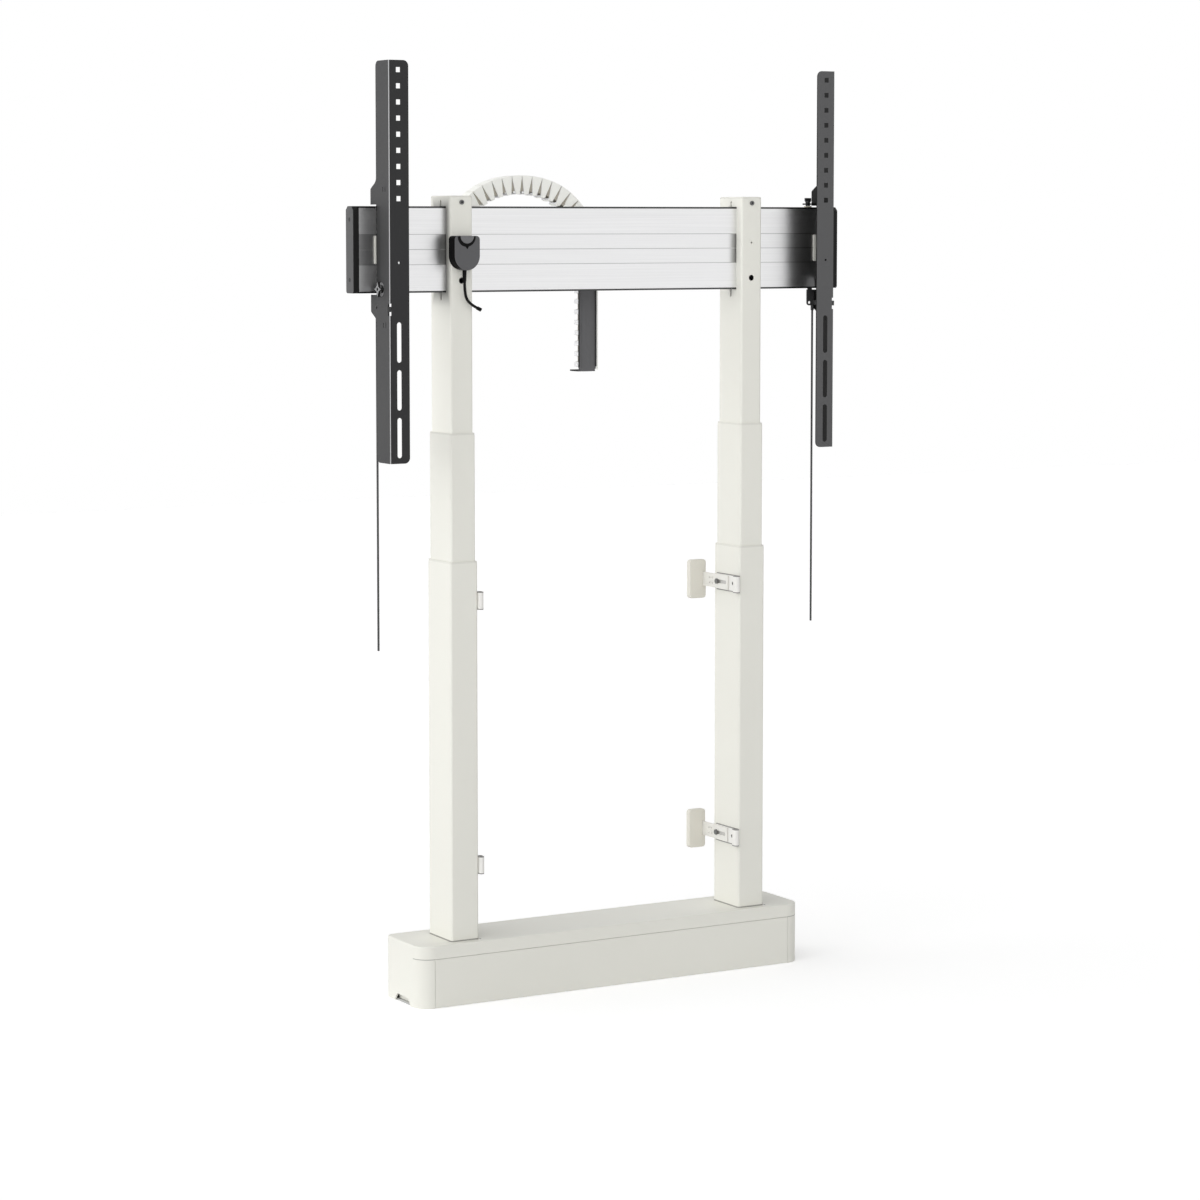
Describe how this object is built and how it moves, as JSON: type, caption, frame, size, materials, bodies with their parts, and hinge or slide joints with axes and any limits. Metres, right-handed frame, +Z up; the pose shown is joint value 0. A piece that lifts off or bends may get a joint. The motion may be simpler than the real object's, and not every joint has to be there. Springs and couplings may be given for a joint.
{
  "type": "tv lift mechanism",
  "caption": "Motorised floor-to-wall display lift: telescopic columns on a low plinth raise a cross bar with sliding display strips, latches, a hand control and an arched cable carrier",
  "frame": {"origin": "on the floor, midway between the columns, on the line of their centres", "axes": "X along the cross bar to the right as seen from the display side, Y to the wall, Z up"},
  "size_m": [0.912, 0.1453, 1.5096],
  "materials": {
    "off_white": "powder coat",
    "carrier": "moulded",
    "pad_white": "moulded",
    "bar_metal": "brushed",
    "strip_black": "fine texture powder coat",
    "black_plastic": "moulded",
    "dark_metal": "black zinc",
    "bright_metal": "zinc plated",
    "knob_grey": "moulded",
    "glide_plastic": "moulded",
    "gear_cast": "cast",
    "box_plastic": "moulded",
    "nut_plastic": "moulded",
    "cord_black": "sheathed"
  },
  "bodies": {
    "root": {"base_cover": "off_white", "front_panel": "off_white", "floor_frame": "bright_metal", "gearboxes": "gear_cast", "lift_motors": "dark_metal", "control_box": "box_plastic", "left_outer_tube": "off_white", "right_outer_tube": "off_white", "outer_glides": "glide_plastic", "wall_clips": "carrier", "root_fasteners": "bright_metal", "chain_anchor": "bright_metal", "chain_left_run": "carrier"},
    "carriage": {"left_inner_tube": "off_white", "right_inner_tube": "off_white", "left_inner_nut": "nut_plastic", "right_inner_nut": "nut_plastic", "head_plugs": "glide_plastic", "crossbar": "bar_metal", "left_end_cap": "black_plastic", "right_end_cap": "black_plastic", "bar_screws": "dark_metal", "cable_plate": "strip_black", "chain_right_run": "carrier", "handset_shell": "black_plastic", "handset_gland": "black_plastic", "handset_cable": "cord_black", "handset_plug": "black_plastic"},
    "carrier_arch": {"chain_arch": "carrier"},
    "hand_key": {"handset_button": "black_plastic"},
    "left_middle": {"left_middle_tube": "off_white", "left_middle_glide": "glide_plastic", "left_middle_nut": "nut_plastic"},
    "left_lower_spindle": {"left_lower_screw": "bright_metal"},
    "left_upper_spindle": {"left_upper_screw": "bright_metal"},
    "left_hanger": {"left_hanger_shoe": "nut_plastic"},
    "left_display_strip": {"left_strip": "strip_black"},
    "left_leveller": {"left_level_screw": "bright_metal"},
    "left_lock": {"left_knob": "knob_grey"},
    "left_release": {"left_latch": "knob_grey", "left_pull_cord": "cord_black"},
    "left_upper_bracket": {"left_upper_arm": "off_white", "left_upper_pad": "pad_white"},
    "left_lower_bracket": {"left_lower_arm": "off_white", "left_lower_pad": "pad_white"},
    "right_middle": {"right_middle_tube": "off_white", "right_middle_glide": "glide_plastic", "right_middle_nut": "nut_plastic"},
    "right_lower_spindle": {"right_lower_screw": "bright_metal"},
    "right_upper_spindle": {"right_upper_screw": "bright_metal"},
    "right_hanger": {"right_hanger_shoe": "nut_plastic"},
    "right_display_strip": {"right_strip": "strip_black"},
    "right_leveller": {"right_level_screw": "bright_metal"},
    "right_lock": {"right_knob": "knob_grey"},
    "right_release": {"right_latch": "knob_grey", "right_pull_cord": "cord_black"},
    "right_upper_bracket": {"right_upper_arm": "off_white", "right_upper_pad": "pad_white"},
    "right_lower_bracket": {"right_lower_arm": "off_white", "right_lower_pad": "pad_white"}
  },
  "joints": [
    {"name": "lift_slide", "type": "slide", "parent": "root", "child": "carriage", "axis": [0, 0, 1], "range_m": [-0.4, 0.25], "deforming": ["chain_left_run", "chain_right_run"]},
    {"name": "arch_slide", "type": "slide", "parent": "root", "child": "carrier_arch", "axis": [0, 0, 1], "range_m": [-0.2005, 0.1255]},
    {"name": "hand_key_rock", "type": "hinge", "parent": "carriage", "child": "hand_key", "pos_m": [-0.27285, -0.0508, 1.2314], "axis": [1, 0, 0], "range_deg": [-5, 5], "stiffness_Nm_per_rad": 0.05},
    {"name": "left_middle_slide", "type": "slide", "parent": "root", "child": "left_middle", "axis": [0, 0, 1], "range_m": [-0.2005, 0.1255]},
    {"name": "left_lower_spin", "type": "hinge", "parent": "root", "child": "left_lower_spindle", "pos_m": [-0.273, 0, 0.02], "axis": [0, 0, 1], "range_deg": [-5765, 3605]},
    {"name": "left_upper_spin", "type": "hinge", "parent": "left_middle", "child": "left_upper_spindle", "pos_m": [-0.273, 0, 0.278], "axis": [0, 0, 1], "range_deg": [-5765, 3605]},
    {"name": "left_strip_slide", "type": "slide", "parent": "carriage", "child": "left_hanger", "axis": [1, 0, 0], "range_m": [-0.025, 0.1]},
    {"name": "left_level_slide", "type": "slide", "parent": "left_hanger", "child": "left_display_strip", "axis": [0, 0, 1], "range_m": [-0.0015, 0.0015]},
    {"name": "left_level_turn", "type": "hinge", "parent": "left_hanger", "child": "left_leveller", "pos_m": [-0.4015, -0.01, 1.29], "axis": [0, 0, 1], "range_deg": [-435, 435]},
    {"name": "left_lock_turn", "type": "hinge", "parent": "left_display_strip", "child": "left_lock", "pos_m": [-0.417, -0.0355, 1.153], "axis": [1, 0, 0], "range_deg": [0, 90]},
    {"name": "left_latch_slide", "type": "slide", "parent": "left_display_strip", "child": "left_release", "axis": [0, 0, 1], "range_m": [-0.005, 0], "stiffness_N_per_m": 200, "springref_m": 0.01},
    {"name": "left_upper_bracket_slide", "type": "slide", "parent": "root", "child": "left_upper_bracket", "axis": [0, 1, 0], "range_m": [-0.005, 0.025]},
    {"name": "left_lower_bracket_slide", "type": "slide", "parent": "root", "child": "left_lower_bracket", "axis": [0, 1, 0], "range_m": [-0.005, 0.025]},
    {"name": "right_middle_slide", "type": "slide", "parent": "root", "child": "right_middle", "axis": [0, 0, 1], "range_m": [-0.2005, 0.1255]},
    {"name": "right_lower_spin", "type": "hinge", "parent": "root", "child": "right_lower_spindle", "pos_m": [0.273, 0, 0.02], "axis": [0, 0, 1], "range_deg": [-5765, 3605]},
    {"name": "right_upper_spin", "type": "hinge", "parent": "right_middle", "child": "right_upper_spindle", "pos_m": [0.273, 0, 0.278], "axis": [0, 0, 1], "range_deg": [-5765, 3605]},
    {"name": "right_strip_slide", "type": "slide", "parent": "carriage", "child": "right_hanger", "axis": [1, 0, 0], "range_m": [-0.1, 0.025]},
    {"name": "right_level_slide", "type": "slide", "parent": "right_hanger", "child": "right_display_strip", "axis": [0, 0, 1], "range_m": [-0.0015, 0.0015]},
    {"name": "right_level_turn", "type": "hinge", "parent": "right_hanger", "child": "right_leveller", "pos_m": [0.4015, -0.01, 1.29], "axis": [0, 0, 1], "range_deg": [-435, 435]},
    {"name": "right_lock_turn", "type": "hinge", "parent": "right_display_strip", "child": "right_lock", "pos_m": [0.417, -0.0355, 1.153], "axis": [1, 0, 0], "range_deg": [0, 90]},
    {"name": "right_latch_slide", "type": "slide", "parent": "right_display_strip", "child": "right_release", "axis": [0, 0, 1], "range_m": [-0.005, 0], "stiffness_N_per_m": 200, "springref_m": 0.01},
    {"name": "right_upper_bracket_slide", "type": "slide", "parent": "root", "child": "right_upper_bracket", "axis": [0, 1, 0], "range_m": [-0.005, 0.025]},
    {"name": "right_lower_bracket_slide", "type": "slide", "parent": "root", "child": "right_lower_bracket", "axis": [0, 1, 0], "range_m": [-0.005, 0.025]}
  ],
  "couplings": [
    {"joint": "arch_slide", "follows": "lift_slide", "ratio": 0.5},
    {"joint": "left_middle_slide", "follows": "lift_slide", "ratio": 0.5},
    {"joint": "left_lower_spin", "follows": "lift_slide", "rad_per_m": 251.33},
    {"joint": "left_upper_spin", "follows": "lift_slide", "rad_per_m": 251.33},
    {"joint": "left_level_turn", "follows": "left_level_slide", "rad_per_m": 5026.6},
    {"joint": "right_middle_slide", "follows": "lift_slide", "ratio": 0.5},
    {"joint": "right_lower_spin", "follows": "lift_slide", "rad_per_m": 251.33},
    {"joint": "right_upper_spin", "follows": "lift_slide", "rad_per_m": 251.33},
    {"joint": "right_level_turn", "follows": "right_level_slide", "rad_per_m": 5026.6}
  ]
}
